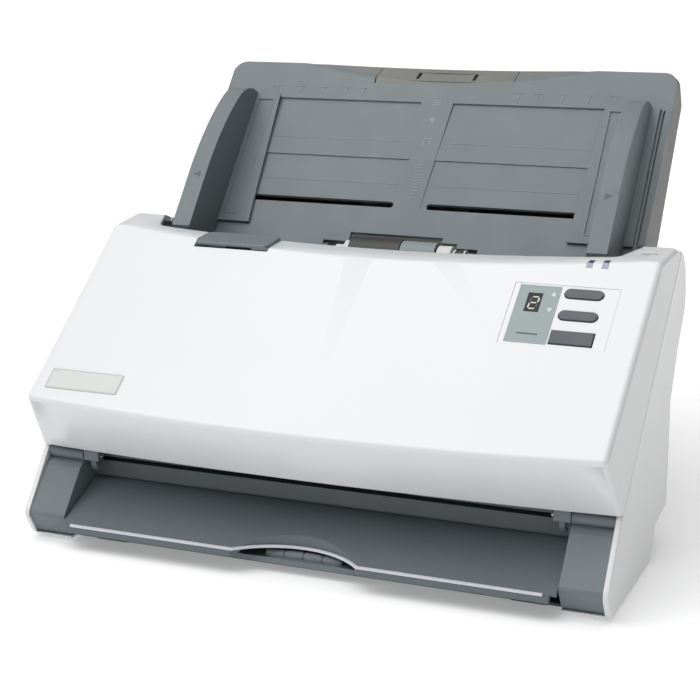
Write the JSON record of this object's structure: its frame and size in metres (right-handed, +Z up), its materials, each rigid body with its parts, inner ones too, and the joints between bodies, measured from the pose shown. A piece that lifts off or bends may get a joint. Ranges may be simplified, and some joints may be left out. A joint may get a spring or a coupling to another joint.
{
  "type": "sheet fed document scanner",
  "caption": "Desktop sheet feed scanner: sloping cover hinged at the front, tilted paper chute with paired guides and pull-out extension, low output tray, control panel.",
  "frame": {"origin": "middle of the whole scanner's footprint box, on the surface it stands on", "axes": "+X to the user's right, +Y to the back, +Z up; the paper tray faces -Y"},
  "size_m": [0.319, 0.2422, 0.2409],
  "materials": {
    "shell_white": "satin white moulding",
    "grey_plastic": "fine-grained grey",
    "inner_grey": "dark grey",
    "trim_white": "pale edging",
    "label_green": "silvery green",
    "button_grey": "grey",
    "display_black": "smoked",
    "lens_lilac": "translucent",
    "rubber_black": "matt",
    "rubber_grey": "matt",
    "hub_grey": "grey",
    "nylon_white": "white nylon",
    "steel": "bright",
    "motor_steel": "plated",
    "glass": "clear",
    "board_green": "lacquered board",
    "port_steel": "plated"
  },
  "bodies": {
    "base": {"side_panel_right": "shell_white", "side_panel_left": "shell_white", "rear_cover": "shell_white", "base_pan": "inner_grey", "rubber_feet": "rubber_black", "pan_screws": "steel", "front_post_right": "grey_plastic", "front_post_left": "grey_plastic", "hinge_pins": "steel", "output_tray": "grey_plastic", "tray_trim": "trim_white", "lower_guide": "inner_grey", "chassis_plate_right": "steel", "chassis_plate_left": "steel", "shaft_bushes": "nylon_white", "lower_scan_unit": "inner_grey", "lower_scan_glass": "glass", "main_board": "board_green", "usb_port": "port_steel", "power_jack": "display_black", "drive_motor": "motor_steel", "drive_belt": "rubber_black", "pick_belt": "rubber_black"},
    "cover": {"front_cover": "shell_white", "cover_frame": "inner_grey", "cover_links": "grey_plastic", "upper_scan_unit": "inner_grey", "upper_scan_glass": "glass", "separation_pad": "rubber_black", "pinch_shafts": "steel", "control_bezel": "shell_white", "display_label": "label_green", "digit_display": "display_black", "button_board": "board_green", "led_lenses": "lens_lilac", "name_plate": "trim_white"},
    "feed_roller_set": {"feed_shaft": "steel", "feed_rollers": "rubber_grey"},
    "exit_roller_set": {"exit_shaft": "steel", "exit_rollers": "rubber_grey"},
    "pick_roller_set": {"pick_shaft": "steel", "pick_roller": "rubber_black", "pick_hub": "hub_grey", "pick_pulley": "nylon_white"},
    "motor_rotor": {"motor_pulley": "steel"},
    "power_key": {"power_button": "button_grey"},
    "up_key": {"up_button": "button_grey"},
    "down_key": {"down_button": "button_grey"},
    "scan_key": {"scan_button": "button_grey"},
    "latch": {"release_latch": "grey_plastic"},
    "feed_idlers": {"feed_pinch_rollers": "nylon_white"},
    "exit_idlers": {"exit_pinch_rollers": "nylon_white"},
    "chute": {"chute_panel": "grey_plastic", "chute_shell": "grey_plastic"},
    "left_guide": {"guide_left": "grey_plastic"},
    "right_guide": {"guide_right": "grey_plastic"},
    "pinion": {"guide_pinion": "nylon_white"},
    "chute_puller": {"chute_extension": "grey_plastic"},
    "stacker": {"output_extension": "grey_plastic"}
  },
  "joints": [
    {"name": "cover_hinge", "type": "hinge", "parent": "base", "child": "cover", "pos_m": [0, -0.09156, 0.044], "axis": [1, 0, 0], "range_deg": [0, 60]},
    {"name": "latch_press", "type": "slide", "parent": "cover", "child": "latch", "axis": [0, 0, -1], "range_m": [0, 0.0025], "stiffness_N_per_m": 400, "springref_m": -0.0005},
    {"name": "up_press", "type": "slide", "parent": "cover", "child": "up_key", "axis": [0, 0.6091, -0.7931], "range_m": [0, 0.0008], "stiffness_N_per_m": 500, "springref_m": -0.0005},
    {"name": "down_press", "type": "slide", "parent": "cover", "child": "down_key", "axis": [0, 0.6091, -0.7931], "range_m": [0, 0.0008], "stiffness_N_per_m": 500, "springref_m": -0.0005},
    {"name": "scan_press", "type": "slide", "parent": "cover", "child": "scan_key", "axis": [0, 0.6091, -0.7931], "range_m": [0, 0.0008], "stiffness_N_per_m": 500, "springref_m": -0.0005},
    {"name": "power_press", "type": "slide", "parent": "base", "child": "power_key", "axis": [0, -1, 0], "range_m": [0, 0.0012], "stiffness_N_per_m": 500, "springref_m": -0.0005},
    {"name": "feed_spin", "type": "hinge", "parent": "base", "child": "feed_roller_set", "pos_m": [0, 0.00985, 0.11511], "axis": [1, 0, 0], "continuous": true},
    {"name": "exit_spin", "type": "hinge", "parent": "base", "child": "exit_roller_set", "pos_m": [0, -0.02679, 0.07144], "axis": [1, 0, 0], "continuous": true},
    {"name": "pick_spin", "type": "hinge", "parent": "base", "child": "pick_roller_set", "pos_m": [0, 0.02461, 0.14188], "axis": [1, 0, 0], "continuous": true},
    {"name": "motor_spin", "type": "hinge", "parent": "base", "child": "motor_rotor", "pos_m": [0, -0.01956, 0.036], "axis": [1, 0, 0], "continuous": true},
    {"name": "feed_idler_spin", "type": "hinge", "parent": "cover", "child": "feed_idlers", "pos_m": [0, -0.00034, 0.12366], "axis": [1, 0, 0], "continuous": true},
    {"name": "exit_idler_spin", "type": "hinge", "parent": "cover", "child": "exit_idlers", "pos_m": [0, -0.03698, 0.07999], "axis": [1, 0, 0], "continuous": true},
    {"name": "chute_lift_off", "type": "slide", "parent": "base", "child": "chute", "axis": [0, 0.6428, 0.766], "range_m": [0, 0.06]},
    {"name": "left_guide_slide", "type": "slide", "parent": "chute", "child": "left_guide", "axis": [1, 0, 0], "range_m": [0, 0.08]},
    {"name": "right_guide_slide", "type": "slide", "parent": "chute", "child": "right_guide", "axis": [-1, 0, 0], "range_m": [0, 0.08]},
    {"name": "pinion_spin", "type": "hinge", "parent": "chute", "child": "pinion", "pos_m": [0, 0.04863, 0.1635], "axis": [0, -0.766, 0.6428], "range_deg": [-578, 5]},
    {"name": "chute_extension_slide", "type": "slide", "parent": "chute", "child": "chute_puller", "axis": [0, 0.6428, 0.766], "range_m": [0, 0.075]},
    {"name": "stacker_slide", "type": "slide", "parent": "base", "child": "stacker", "axis": [0, -1, 0], "range_m": [0, 0.06]}
  ],
  "couplings": [
    {"joint": "right_guide_slide", "follows": "left_guide_slide", "ratio": 1},
    {"joint": "pinion_spin", "follows": "left_guide_slide", "rad_per_m": -125},
    {"joint": "exit_spin", "follows": "feed_spin", "ratio": 1},
    {"joint": "pick_spin", "follows": "feed_spin", "ratio": 1},
    {"joint": "motor_spin", "follows": "feed_spin", "ratio": 1.6}
  ]
}
